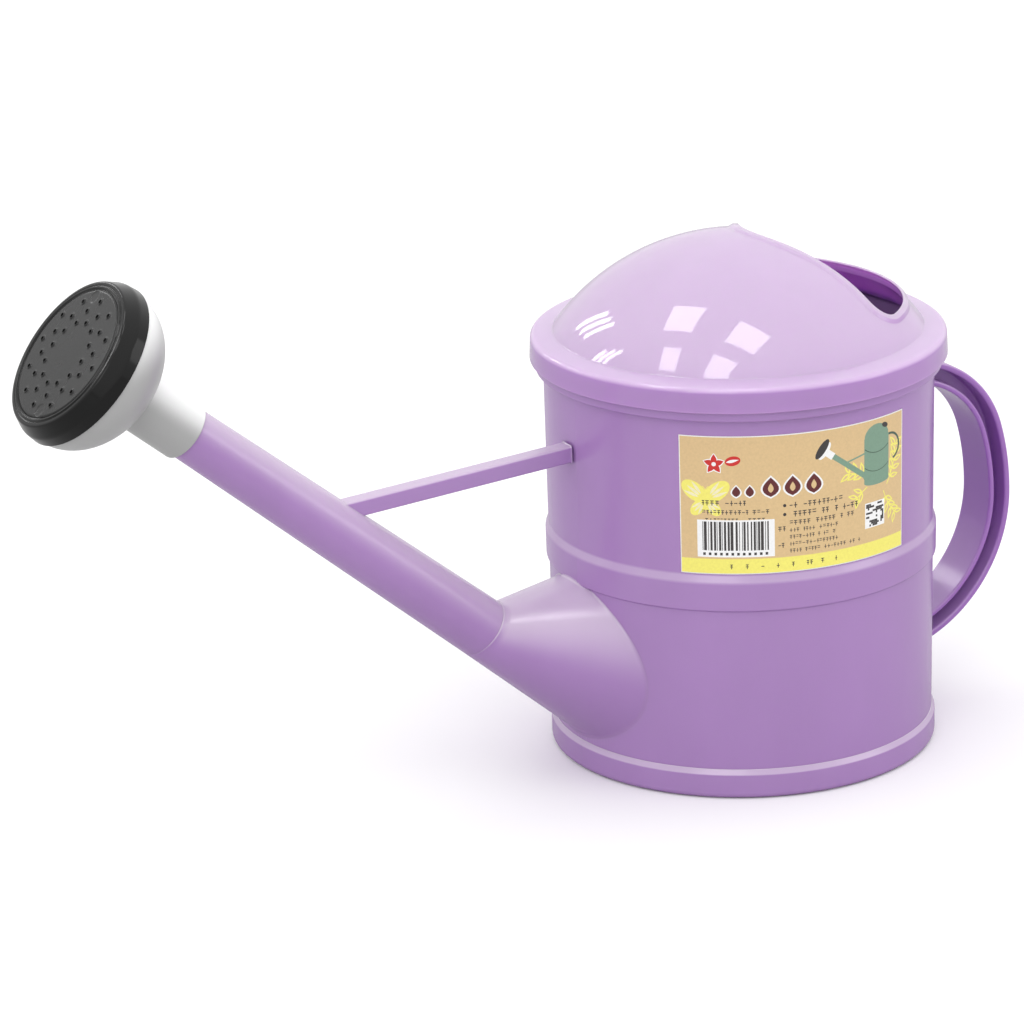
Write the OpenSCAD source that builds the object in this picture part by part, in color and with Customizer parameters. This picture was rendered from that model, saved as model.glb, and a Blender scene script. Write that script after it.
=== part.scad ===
/* [Tank] */
// Outer radius of the wall at its lower end
tank_base_r = 90.3; // [75:0.1:120]
// Outer radius of the wall at its rim
tank_rim_r = 92.0; // [76:0.1:122]
// Height of the rim above the ground
tank_h = 198; // [170:1:260]
// Wall thickness of the tank
tank_wall_t = 1.8; // [1.4:0.1:3]
// Height of the raised belt's lower edge
belt_z = 92; // [60:1:120]
// Height of the belt
belt_h = 17.5; // [8:0.5:30]
// How far the belt stands proud of the wall
belt_proud = 1.4; // [0.5:0.1:3]
// How far the plain band around the rim stands proud of the wall
rim_band_proud = 3.6; // [2:0.1:6]
// Height of the rim band
rim_band_h = 13.5; // [8:0.5:20]

/* [Base] */
// How far the foot band stands proud of the wall
foot_proud = 1.5; // [1:0.1:4]
// Height of the foot band
foot_h = 14.3; // [10:0.1:24]
// Thickness of the tank's floor
floor_t = 3; // [2:0.1:5]
// Radius of the rounded edge that stands on the ground
foot_round = 2.6; // [1:0.1:4]
// Depth of the relief under the floor
relief_h = 1.2; // [0.5:0.1:1.8]
// Radius of the flat pad in the middle of the underside
pad_r = 20; // [10:1:40]
// Width of the flat ring that the can stands on, its rounded edge included
ring_w = 10; // [6:0.5:20]

/* [Hood] */
// Clearance between the hood's skirt and the rim band
hood_fit = 0.3; // [0.2:0.05:0.6]
// Gap between the hood and the top of the rim
hood_gap = 0.2; // [0.1:0.05:0.5]
// Thickness of the skirt
skirt_t = 1.8; // [1.4:0.1:3]
// Height of the skirt below the rim's top
skirt_h = 8.8; // [6:0.1:13]
// How far the skirt widens towards its lower edge
skirt_flare = 0.5; // [0:0.1:1]
// Radius of the rounded outer edge of the brim
brim_round = 3; // [2:0.1:4]
// Width of the sloping brim outside the dome
brim_w = 10.5; // [7:0.1:16]
// Rise of the brim from its rounded edge to the dome
brim_rise = 1.4; // [0.5:0.1:3]
// Height of the dome above its foot
dome_h = 44; // [30:0.5:60]
// Thickness of the dome
dome_t = 2; // [1.5:0.1:3]
// Height of the opening's low rear lip above the dome's foot
lip_rise = 12.4; // [8:0.1:18]
// Radius of the opening's arched front edge, seen from the side
arch_r = 47.1; // [46:0.1:50]
// Distance of that arch's centre in front of the tank's axis
arch_front = 7; // [4:0.1:9]
// Drop of that arch's centre below the dome's foot
arch_drop = 0.6; // [0:0.1:1.5]
// Radius between the arched edge and the rear lip
mouth_round = 16; // [8:0.5:20]
// Width of the raised lip
lip_w = 2; // [1.5:0.1:3]
// How far the lip stands proud of the dome
lip_proud = 1.6; // [0.8:0.1:2]

/* [Spout] */
// Angle of the spout above the horizontal, in degrees
spout_angle = 39.8; // [32:0.1:50]
// Height at which the spout's axis meets the wall
spout_z = 37.6; // [36:0.1:50]
// Outer radius of the spout where its axis meets the wall
spout_root_r = 15.1; // [12:0.1:18]
// Outer radius of the spout at its tip
spout_tip_r = 11.95; // [9:0.05:12]
// Length of the spout from the wall to its tip
spout_len = 276; // [200:1:330]
// Wall thickness of the spout
spout_wall_t = 1.7; // [1.4:0.1:2.5]
// Length of the flared root along the spout's axis
root_len = 62.4; // [50:0.1:75]
// Distance of the root's wide end inside the wall
root_end_in = 23.1; // [20:0.1:30]
// Height of the middle of the root's wide end above the point where the spout's axis meets the wall
root_end_rise = 16.1; // [14:0.1:20]
// Radius of the root's wide end, up and down
root_end_r = 46.9; // [40:0.1:48]
// Width of the root's wide end over its height
root_end_ratio = 1.08; // [1:0.01:1.15]
// Slope of the root's axis, in degrees
root_angle = 16.5; // [10:0.5:25]
// Radius of the opening in the wall behind the root
root_hole_r = 29; // [15:0.5:32]

/* [Brace] */
// Width of the brace between the tank and the spout
brace_w = 8.6; // [6:0.1:14]
// Height of the brace's section
brace_h = 8; // [6:0.1:14]
// Distance of the brace's middle at the wall below the rim band
brace_drop = 28.5; // [15:0.5:45]
// Fall of the brace towards the spout, in degrees
brace_slope = 3.3; // [0:0.1:10]

/* [Handle] */
// Reach of the handle from the wall
handle_out = 54.1; // [45:0.1:65]
// Height of the handle's outermost point
handle_z = 98; // [85:1:110]
// Radius of the handle's lower curve
handle_low_r = 73; // [66:0.5:78]
// Radius of the handle's upper curve
handle_top_r = 55; // [50:0.5:60]
// Radius of the flatter curve between them
handle_mid_r = 123; // [100:1:160]
// Angle that the flatter curve turns through, in degrees
handle_mid_turn = 16.2; // [8:0.1:20]
// Width of the handle's two flanges
handle_w = 24; // [16:0.5:32]
// Depth of the handle's section
handle_d = 11.8; // [9:0.1:16]
// Thickness of the outer flange
outer_flange_t = 3.1; // [2:0.1:4]
// Thickness of the inner flange
inner_flange_t = 2.7; // [2:0.1:4]
// Thickness of the web between the flanges
web_t = 3; // [2:0.1:6]

/* [Rose] */
// Clearance between the spout's tip and the rose's socket
rose_fit = 0.3; // [0.2:0.05:0.5]
// Wall thickness of the socket
socket_t = 1.45; // [1.2:0.05:3]
// Length of the socket
socket_len = 29.5; // [24:0.5:40]
// Depth to which the spout's tip goes into the socket
socket_grip = 22; // [15:0.5:24]
// Greatest outer radius of the bowl
bowl_r = 38.9; // [30:0.1:50]
// Depth of the bowl
bowl_depth = 29; // [20:0.5:40]
// Wall thickness of the bowl
bowl_t = 1.6; // [1.2:0.1:2.5]
// Length of the neck that the face fits over
neck_len = 5; // [3:0.5:6]
// Step from the bowl down to the neck
neck_step = 2.4; // [2:0.1:4]

/* [Rose face] */
// Clearance between the face's rim and the bowl's neck
face_fit = 0.3; // [0.2:0.05:0.5]
// How far the face's rim stands outside the bowl
face_proud = 1.1; // [0.4:0.1:2]
// Depth of the face, front to back
face_depth = 11.8; // [9:0.1:16]
// Radius of the face's rounded front edge
face_round = 3; // [2:0.1:4]
// Thickness of the perforated plate
plate_t = 1.8; // [1.2:0.1:2.5]
// Radius of the thin raised ring on the plate
ring_r = 33.4; // [32.5:0.1:34.5]
// Radius of each water hole
hole_r = 0.9; // [0.5:0.1:1.5]
// Radius of the innermost ring of holes
hole_ring_r = 15.5; // [10:0.1:17]
// Distance from one ring of holes to the next
hole_pitch = 5.6; // [4:0.1:6]
// Number of rings of holes
hole_rings = 3; // [1:1:3]
// Number of holes in each ring
holes_per_ring = 12; // [6:1:16]

/* [Label] */
// Angle that the label spans, in degrees
label_span = 72; // [40:1:90]
// Turn of the label's middle towards the spout, in degrees
label_turn = 12; // [0:1:30]
// Gap between the belt and the label's lower edge
label_gap = 1; // [0.5:0.5:8]
// Gap between the label's upper edge and the rim band
label_top_gap = 7.5; // [1:0.5:20]
// Thickness of the label
label_t = 0.25; // [0.2:0.05:0.4]

/* [Hidden] */
$fn = 96;

// The wall's outer radius at height z, and the radius of the inside of the wall there
function wall_r(z) = tank_base_r + (tank_rim_r - tank_base_r) * (z - floor_t) / (tank_h - floor_t);
function wall_in_r(z) = wall_r(z) - tank_wall_t;

// The rim band and the belt
rim_band_r = tank_rim_r + rim_band_proud;
band_z = tank_h - rim_band_h;
belt_top = belt_z + belt_h;
belt_ease = 2.5;
belt_edge = 0.8;

// The small bevels on the rim band's lower and upper edges
band_edge = 0.6;
rim_edge = 1;

// The foot band's outside, and the wall where the band's top edge meets it
seat_r = wall_r(foot_h);
foot_r = seat_r + foot_proud;
foot_ease = 1.2;

// The relief under the floor, between the pad and the ring, and its sloping sides
relief_r = foot_r - ring_w;
relief_ease = 2;

// The hood: the skirt's inside and outside, the brim and the dome. The brim laps under the dome
// by brim_lap, and the rolled lip ends lip_gap above the dome's foot
skirt_in_r = rim_band_r + hood_fit;
skirt_r = skirt_in_r + skirt_t;
under_z = tank_h + hood_gap;
brim_z = under_z + brim_round;
skirt_z = under_z - skirt_h;
dome_foot_r = skirt_r - brim_w;
dome_foot_z = brim_z + brim_rise;
dome_r = (dome_foot_r * dome_foot_r + dome_h * dome_h) / (2 * dome_h);
dome_z = dome_foot_z + dome_h - dome_r;
brim_lap = 4;
brim_ease = 0.5;
lip_gap = 2;
lip_z = dome_foot_z + lip_rise;
arch_z = dome_foot_z - arch_drop;

// The spout: its axis runs from the wall at the tank's left, up and outwards
wall_x = wall_r(spout_z);
taper = (spout_root_r - spout_tip_r) / spout_len;
function spout_r(t) = spout_root_r - taper * t;
face_gap = 0.2;
rim_t = spout_len - socket_grip;
bowl_t0 = rim_t + socket_len;
bowl_t1 = bowl_t0 + bowl_depth;
face_t = bowl_t1 + face_gap + face_depth;
bore_r = spout_r(rim_t) + rose_fit;
neck_r = bowl_r - neck_step;
face_in_r = neck_r + face_fit;
face_r = bowl_r + face_proud;
socket_r = bore_r + socket_t;
face_lean = 2.4;
face_ease = 0.3;
plate_z = face_t - 0.1;
bead_h = 0.5;
bead_w = 1;

// The socket's bevelled mouth, and the bowl's thicker back around the neck of the bore
mouth_ease = 0.5;
socket_round = 0.8;
bowl_back_t = 3;
stop_r = spout_tip_r - spout_wall_t;

// The wide end of the root, and the thickness of the slices that its flare joins
root_end_x = wall_x - root_end_in;
root_end_z = spout_z + root_end_rise;
slice_t = 0.02;

// The handle's outermost point
handle_reach = wall_r(handle_z) + handle_out;

// The brace's ends lie inside the tank and inside the spout, a little above the spout's axis
brace_bury = 6;
brace_z = band_z - brace_drop;
brace_run = (brace_z - spout_z - brace_bury) / (tan(spout_angle) + tan(brace_slope));

// Points along an arc, and points along an ellipse from radius r0 out to radius r, where the
// ellipse reaches the distance t1 along the axis
function arc(cx, cy, r, a0, a1, n) =
    [for (i = [0:n]) let (a = a0 + (a1 - a0) * i / n) [cx + r * cos(a), cy + r * sin(a)]];
function ellipse_run(r, depth, t1, r0, n) =
    let (a0 = asin(r0 / r))
    [for (i = [0:n]) let (a = a0 + (90 - a0) * i / n) [r * sin(a), t1 - depth * cos(a)]];

// Places its children with +Z along the spout's axis and the origin where the axis meets the wall
module on_spout() {
    translate([-wall_x, 0, spout_z])
        rotate([0, spout_angle - 90, 0])
            children();
}

// The tank's outside as one solid of revolution, belt and rim band included
module tank_outside() {
    rotate_extrude()
        polygon([
            [0, floor_t],
            [wall_r(floor_t), floor_t],
            [wall_r(belt_z), belt_z],
            [wall_r(belt_z) + belt_proud, belt_z + belt_edge],
            [wall_r(belt_top) + belt_proud, belt_top - belt_ease],
            [wall_r(belt_top), belt_top],
            [wall_r(band_z), band_z],
            [rim_band_r - band_edge, band_z],
            [rim_band_r, band_z + band_edge],
            [rim_band_r, tank_h - rim_edge],
            [rim_band_r - rim_edge, tank_h],
            [0, tank_h]
        ]);
}

// The spout's outside, from a distance t0 to a distance t1 along its axis
module spout_solid(t0, t1, inset) {
    on_spout()
        translate([0, 0, t0])
            cylinder(h = t1 - t0, r1 = spout_r(t0) - inset, r2 = spout_r(t1) - inset);
}

// The flared root, drawn in by inset
module root_solid(inset) {
    hull() {
        on_spout()
            translate([0, 0, root_len - slice_t])
                cylinder(h = slice_t, r = spout_r(root_len) - inset, $fn = 32);
        translate([-root_end_x, 0, root_end_z])
            rotate([0, 90 + root_angle, 0])
                scale([1, root_end_ratio, 1])
                    cylinder(h = slice_t, r = root_end_r - inset, $fn = 32);
    }
}

module tank_wall() {
    color("#AA82BE")
        difference() {
            tank_outside();
            rotate_extrude()
                polygon([
                    [0, floor_t - 1],
                    [wall_in_r(floor_t - 1), floor_t - 1],
                    [wall_in_r(tank_h + 1), tank_h + 1],
                    [0, tank_h + 1]
                ]);
            translate([0, 0, root_end_z])
                rotate([0, -90, 0])
                    cylinder(h = 2 * tank_rim_r, r = root_hole_r);
        }
}

module tank_base() {
    color("#AA82BE")
        rotate_extrude()
            polygon(concat(
                [[0, 0], [pad_r, 0], [pad_r + relief_ease, relief_h]],
                [[relief_r - relief_ease, relief_h], [relief_r, 0]],
                arc(foot_r - foot_round, foot_round, foot_round, -90, 0, 6),
                [[foot_r, foot_h - 3 * foot_ease], [foot_r - foot_proud / 3, foot_h - foot_ease]],
                [[seat_r, foot_h]],
                [[wall_r(floor_t), floor_t], [0, floor_t]]
            ));
}

module spout_root() {
    color("#B693CB")
        difference() {
            root_solid(0);
            root_solid(spout_wall_t);
            tank_outside();
        }
}

module spout_tube() {
    color("#B693CB")
        difference() {
            spout_solid(root_len, spout_len, 0);
            spout_solid(root_len - 1, spout_len + 1, spout_wall_t);
        }
}

module spout_brace() {
    color("#C6A6D8")
        difference() {
            translate([-wall_x, 0, brace_z])
                rotate([0, -brace_slope, 0])
                    translate([-brace_run / cos(brace_slope), -brace_w / 2, -brace_h / 2])
                        cube([brace_run / cos(brace_slope) + brace_bury, brace_w, brace_h]);
            tank_outside();
            spout_solid(root_len, spout_len, 0);
        }
}

// A stretch of the handle's outline, from a0 to a1 degrees, between two depths below its outside
module ring_piece(cx, cz, r, d0, d1, a0, a1) {
    reach = 3 * r;
    translate([cx, cz])
        intersection() {
            difference() {
                circle(r = r - d0);
                circle(r = r - d1);
            }
            polygon([
                [0, 0],
                [reach * cos(a0), reach * sin(a0)],
                [reach * cos((a0 + a1) / 2), reach * sin((a0 + a1) / 2)],
                [reach * cos(a1), reach * sin(a1)]
            ]);
        }
}

// One layer of the handle: three tangent curves, between two depths, width w across
module handle_layer(d0, d1, w) {
    mid_x = handle_reach - handle_mid_r;
    top_shift = handle_mid_r - handle_top_r;
    top_x = mid_x + top_shift * cos(handle_mid_turn);
    top_z = handle_z + top_shift * sin(handle_mid_turn);
    translate([0, w / 2, 0])
        rotate([90, 0, 0])
            linear_extrude(w)
                union() {
                    ring_piece(handle_reach - handle_low_r, handle_z, handle_low_r, d0, d1, -95, 0);
                    ring_piece(mid_x, handle_z, handle_mid_r, d0, d1, 0, handle_mid_turn);
                    ring_piece(top_x, top_z, handle_top_r, d0, d1, handle_mid_turn, 110);
                }
}

module carry_handle() {
    color("#9C6EB8")
        difference() {
            union() {
                handle_layer(0, outer_flange_t, handle_w);
                handle_layer(outer_flange_t, handle_d - inner_flange_t, web_t);
                handle_layer(handle_d - inner_flange_t, handle_d, handle_w);
            }
            tank_outside();
        }
}

module front_label() {
    z0 = belt_top + label_gap;
    z1 = band_z - label_top_gap;
    color("#D0B280")
        rotate([0, 0, -90 - label_turn - label_span / 2])
            rotate_extrude(angle = label_span)
                polygon([
                    [wall_r(z0), z0],
                    [wall_r(z0) + label_t, z0],
                    [wall_r(z1) + label_t, z1],
                    [wall_r(z1), z1]
                ]);
}

// The hood's shell of revolution, before the opening is cut
module hood_shell() {
    rotate_extrude()
        difference() {
            union() {
                polygon(concat(
                    [[dome_foot_r - brim_lap, under_z]],
                    [[skirt_in_r, under_z], [skirt_in_r, skirt_z]],
                    [[skirt_r + skirt_flare, skirt_z]],
                    arc(skirt_r - brim_round, under_z, brim_round, 0, 80, 6),
                    [[dome_foot_r - brim_ease, dome_foot_z]],
                    [[dome_foot_r - brim_lap, dome_foot_z - 2 * brim_ease]]
                ));
                dome_half(dome_r, under_z);
            }
            dome_half(dome_r - dome_t, under_z);
        }
}

// Half of the dome's section, out to radius r and above height z0
module dome_half(r, z0) {
    intersection() {
        translate([0, dome_z])
            circle(r = r, $fn = 180);
        translate([0, z0])
            square([dome_foot_r + brim_lap, 2 * dome_h]);
    }
}

// The region that the opening removes, seen from the side, widened by d
module mouth_region(d) {
    low_z = lip_z + mouth_round;
    low_x = sqrt(pow(arch_r + mouth_round, 2) - pow(low_z - arch_z, 2)) - arch_front;
    meet = atan2(low_z - arch_z, low_x + arch_front);
    far = 2 * dome_r;
    translate([0, dome_r, 0])
        rotate([90, 0, 0])
            linear_extrude(2 * dome_r)
                polygon(concat(
                    [[-arch_front, lip_z + far]],
                    arc(-arch_front, arch_z, arch_r - d, 90, meet, 12),
                    arc(low_x, low_z, mouth_round + d, 180 + meet, 270, 6),
                    [[low_x + far, lip_z - d], [low_x + far, lip_z + far]]
                ));
}

// A shell as thick as the lip, flush with the inside of the dome
module lip_shell() {
    difference() {
        rotate_extrude()
            dome_half(dome_r + lip_proud, dome_foot_z + lip_gap);
        rotate_extrude()
            dome_half(dome_r - dome_t, dome_foot_z + lip_gap);
    }
}

module hood_lid() {
    color("#CDB2DC")
        difference() {
            union() {
                hood_shell();
                intersection() {
                    lip_shell();
                    mouth_region(lip_w);
                }
            }
            mouth_region(0);
        }
}

module rose_funnel() {
    color("#F2F2F2")
        on_spout()
            rotate_extrude()
                polygon(concat(
                    [[bore_r, rim_t + mouth_ease], [bore_r + mouth_ease, rim_t]],
                    arc(socket_r - socket_round, rim_t + socket_round, socket_round, -60, 0, 3),
                    ellipse_run(bowl_r, bowl_depth, bowl_t1, socket_r, 12),
                    [[neck_r, bowl_t1], [neck_r, bowl_t1 + neck_len]],
                    [[neck_r - bowl_t, bowl_t1 + neck_len]],
                    bowl_inside(),
                    [[stop_r, bowl_t0], [stop_r, spout_len + mouth_ease]],
                    [[bore_r, spout_len + mouth_ease]]
                ));
}

// The inside of the bowl, from its neck back to the stop that the spout's tip meets
function bowl_inside() =
    let (run = ellipse_run(neck_r - bowl_t, bowl_depth - bowl_back_t, bowl_t1 - 1, stop_r, 12))
    [for (i = [12:-1:0]) run[i]];

module rose_face() {
    color("#2B2B2B")
        on_spout()
            difference() {
                rotate_extrude()
                    polygon(concat(
                        [[face_in_r, bowl_t1 + face_gap], [face_r - face_ease, bowl_t1 + face_gap]],
                        [[face_r, bowl_t1 + face_gap + face_ease]],
                        arc(face_r - face_lean - face_round, face_t - face_round, face_round, 15, 80, 6),
                        [[ring_r + bead_w / 2, plate_z], [ring_r + bead_w / 4, plate_z + bead_h]],
                        [[ring_r - bead_w / 4, plate_z + bead_h], [ring_r - bead_w / 2, plate_z]],
                        [[0, plate_z], [0, plate_z - plate_t]],
                        [[face_in_r - face_lean, plate_z - plate_t]],
                        [[face_in_r, bowl_t1 + neck_len + face_gap + face_ease]]
                    ));
                for (k = [0:hole_rings - 1])
                    for (i = [0:holes_per_ring - 1])
                        rotate([0, 0, 360 / holes_per_ring * (i + (k % 2) / 2)])
                            translate([hole_ring_r + k * hole_pitch, 0, face_t - plate_t - 1])
                                cylinder(h = plate_t + 3, r = hole_r, $fn = 24);
            }
}

tank_wall();
tank_base();
spout_root();
spout_tube();
spout_brace();
carry_handle();
front_label();
hood_lid();
rose_funnel();
rose_face();
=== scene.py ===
from math import asin, atan2, cos, hypot, pi, radians, sin, sqrt, tan

import bmesh
import bpy
from mathutils import Matrix, Vector
from mathutils.geometry import delaunay_2d_cdt


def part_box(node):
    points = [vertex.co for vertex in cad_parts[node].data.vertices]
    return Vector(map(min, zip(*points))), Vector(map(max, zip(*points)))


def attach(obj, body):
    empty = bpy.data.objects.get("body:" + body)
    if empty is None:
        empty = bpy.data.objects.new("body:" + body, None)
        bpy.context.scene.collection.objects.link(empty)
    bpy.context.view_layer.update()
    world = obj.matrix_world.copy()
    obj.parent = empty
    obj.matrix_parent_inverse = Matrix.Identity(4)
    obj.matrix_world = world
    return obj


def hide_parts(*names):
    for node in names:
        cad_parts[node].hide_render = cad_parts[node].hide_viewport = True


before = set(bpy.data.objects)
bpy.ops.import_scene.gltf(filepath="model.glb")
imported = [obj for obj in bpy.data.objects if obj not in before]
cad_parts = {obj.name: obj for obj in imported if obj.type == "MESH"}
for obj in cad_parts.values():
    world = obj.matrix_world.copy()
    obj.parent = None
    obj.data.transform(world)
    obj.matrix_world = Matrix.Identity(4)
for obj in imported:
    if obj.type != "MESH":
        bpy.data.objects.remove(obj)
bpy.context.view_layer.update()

# ---- Tank wall ------------------------------------------------------------------------------
# The round wall is injection moulded in lilac polypropylene, 1.8 mm thick and slightly wider at
# the rim. A raised belt runs round its middle and a plain band stiffens the rim. A fine parting
# ridge is left where the two mould halves met, and a round port opens into the spout's root.

mm = 0.001
wall_low, wall_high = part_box("tank_wall")
floor_top = wall_low.z
rim_z = wall_high.z
band_r = wall_high.x
band_z = rim_z - 13.5 * mm
wall_rim_r = band_r - 3.6 * mm
wall_base_r = wall_rim_r - 1.7 * mm
wall_t = 1.8 * mm
belt_z = 92 * mm
belt_top = 109.5 * mm
belt_proud = 1.4 * mm
seam_angles = (radians(184), radians(4))
seam_proud = 0.14 * mm
seam_w = radians(0.35)


def wall_r(z):
    """Outer radius of the plain wall at height z."""
    return wall_base_r + (wall_rim_r - wall_base_r) * (z - floor_top) / (rim_z - floor_top)


def soften(corners, steps=5):
    """A closed outline of (x, y, radius) corners, each rounded to its radius."""
    points = []
    for i, (x, y, radius) in enumerate(corners):
        here = Vector((x, y))
        if radius <= 0:
            points.append(here)
            continue
        before = Vector(corners[i - 1][:2]) - here
        after = Vector(corners[(i + 1) % len(corners)][:2]) - here
        half = before.angle(after) / 2
        reach = min(radius / tan(half), 0.49 * before.length, 0.49 * after.length)
        middle = (before.normalized() + after.normalized()).normalized()
        centre = here + middle * reach / cos(half)
        first = here + before.normalized() * reach - centre
        last = here + after.normalized() * reach - centre
        start = atan2(first.y, first.x)
        turn = (atan2(last.y, last.x) - start + pi) % (2 * pi) - pi
        for k in range(steps + 1):
            angle = start + turn * k / steps
            points.append(centre + first.length * Vector((cos(angle), sin(angle))))
    return points


def skin(name, rows, ring=True):
    """One closed solid over rows of points. Each row is a closed outline, and the rows close too
    unless ring is False, when the first and last rows are filled."""
    count, width = len(rows), len(rows[0])
    mesh = bmesh.new()
    grid = [[mesh.verts.new(point) for point in row] for row in rows]
    for i in range(count if ring else count - 1):
        here, there = grid[i], grid[(i + 1) % count]
        for j in range(width):
            k = (j + 1) % width
            mesh.faces.new((here[j], here[k], there[k], there[j]))
    if not ring:
        mesh.faces.new(grid[0])
        mesh.faces.new(list(reversed(grid[-1])))
    bmesh.ops.remove_doubles(mesh, verts=mesh.verts, dist=1e-6)
    bmesh.ops.dissolve_degenerate(mesh, edges=mesh.edges, dist=1e-7)
    bmesh.ops.recalc_face_normals(mesh, faces=mesh.faces)
    return finish_mesh(name, mesh)


def finish_mesh(name, mesh):
    """The bmesh as a smooth-shaded object."""
    data = bpy.data.meshes.new(name)
    mesh.to_mesh(data)
    mesh.free()
    data.shade_smooth()
    piece = bpy.data.objects.new(name, data)
    bpy.context.scene.collection.objects.link(piece)
    return piece


def dress(piece, material, body, slot, *nodes):
    """Material, even shading across the fillets, body and the CAD nodes it stands for. The slot is
    not used.
    """
    piece.data.materials.append(material)
    shading = piece.modifiers.new("even_shading", "WEIGHTED_NORMAL")
    shading.keep_sharp = True
    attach(piece, body)
    if nodes:
        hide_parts(*nodes)


def turned(name, outline, count, seams=()):
    """The outline of (radius, height) points turned round the Z axis."""
    angles = [(2 * pi * i / count, 0.0) for i in range(count)]
    for seam in seams:
        angles = [
            (a, up) for a, up in angles if abs((a - seam + pi) % (2 * pi) - pi) > 1.5 * seam_w
        ]
        angles += [(seam - seam_w, 0.0), (seam, seam_proud), (seam + seam_w, 0.0)]
    rows = []
    for angle, up in sorted(angles):
        turn = Vector((cos(angle), sin(angle), 0))
        rows.append([turn * (p.x + up * (p.x > 0)) + Vector((0, 0, p.y)) for p in outline])
    return skin(name, rows)


def cut(piece, tool):
    """Takes the tool's shape out of the piece, and removes the tool."""
    boolean = piece.modifiers.new("cut", "BOOLEAN")
    boolean.object = tool
    boolean.operation = "DIFFERENCE"
    boolean.solver = "EXACT"
    graph = bpy.context.evaluated_depsgraph_get()
    piece.data = bpy.data.meshes.new_from_object(piece.evaluated_get(graph))
    piece.modifiers.clear()
    bpy.data.objects.remove(tool)


def moulded(name, colour, depth, rough, grain, clouds, translucency=0.0, painted_top_light=None, ior=1.49):
    """Moulded plastic: cloudy colour, a mould-polish grain and slow waves. Where a top light
    colour is given, skin that looks up is blended towards it: painted top light and sheen, not a
    property of the resin."""
    material = bpy.data.materials.new(name)
    material.use_nodes = True
    nodes = material.node_tree.nodes
    link = material.node_tree.links.new
    shader = nodes["Principled BSDF"]
    shader.inputs["IOR"].default_value = ior
    shader.inputs["Subsurface Weight"].default_value = translucency
    shader.inputs["Subsurface Radius"].default_value = (1.0, 0.7, 1.0)
    shader.inputs["Subsurface Scale"].default_value = 4 * mm
    place = nodes.new("ShaderNodeTexCoord")

    def noise(scale, detail, stretch=(1, 1, 1)):
        mapping = nodes.new("ShaderNodeMapping")
        mapping.inputs["Scale"].default_value = stretch
        texture = nodes.new("ShaderNodeTexNoise")
        texture.inputs["Scale"].default_value = scale
        texture.inputs["Detail"].default_value = detail
        link(place.outputs["Object"], mapping.inputs["Vector"])
        link(mapping.outputs["Vector"], texture.inputs["Vector"])
        return texture.outputs["Fac"]

    def tones(tint):
        ramp = nodes.new("ShaderNodeValToRGB")
        ramp.color_ramp.elements[0].position = 0.3
        ramp.color_ramp.elements[0].color = (*[c * (1 - clouds) for c in tint], 1)
        ramp.color_ramp.elements[1].position = 0.7
        ramp.color_ramp.elements[1].color = (*[min(1, c * (1 + clouds)) for c in tint], 1)
        link(cloud, ramp.inputs["Fac"])
        return ramp.outputs["Color"]

    cloud = noise(26, 4, (1, 1, 0.45))
    skin_colour = tones(colour)
    if painted_top_light:
        # Painted top light: the more the skin faces up, the more its colour is lightened towards
        # the top light colour.
        facing = nodes.new("ShaderNodeSeparateXYZ")
        link(place.outputs["Normal"], facing.inputs["Vector"])
        top_light_mask = nodes.new("ShaderNodeMapRange")
        top_light_mask.interpolation_type = "SMOOTHSTEP"
        top_light_mask.inputs["From Min"].default_value = painted_top_light_from
        top_light_mask.inputs["From Max"].default_value = painted_top_light_to
        link(facing.outputs["Z"], top_light_mask.inputs["Value"])
        blend = nodes.new("ShaderNodeMix")
        blend.data_type = "RGBA"
        link(top_light_mask.outputs["Result"], blend.inputs["Factor"])
        link(skin_colour, blend.inputs["A"])
        link(tones(painted_top_light), blend.inputs["B"])
        skin_colour = blend.outputs["Result"]
    link(skin_colour, shader.inputs["Base Color"])

    polish = nodes.new("ShaderNodeMapRange")
    polish.inputs["To Min"].default_value = rough * 0.8
    polish.inputs["To Max"].default_value = rough * 1.25
    link(noise(60, 3, (1, 1, 0.3)), polish.inputs["Value"])
    link(polish.outputs["Result"], shader.inputs["Roughness"])

    fine = nodes.new("ShaderNodeBump")
    fine.inputs["Strength"].default_value = grain
    fine.inputs["Distance"].default_value = 0.02 * mm
    link(noise(2600, 2), fine.inputs["Height"])
    slow = nodes.new("ShaderNodeBump")
    slow.inputs["Strength"].default_value = 1.0
    slow.inputs["Distance"].default_value = depth
    link(noise(34, 1, (1, 1, 0.22)), slow.inputs["Height"])
    link(fine.outputs["Normal"], slow.inputs["Normal"])
    link(slow.outputs["Normal"], shader.inputs["Normal"])
    return material


lilac_colour = (0.385, 0.213, 0.500)
# Painted top light and sheen: up-facing lilac skin is lightened towards this colour, over this
# range of upward facing.
painted_top_light_colour = (0.56, 0.44, 0.61)
painted_top_light_from, painted_top_light_to = -0.1, 0.75
lilac = moulded(
    "lilac_polypropylene", lilac_colour, 0.12 * mm, 0.22, 0.2, 0.03, 0.3, painted_top_light_colour, 1.7
)

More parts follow.
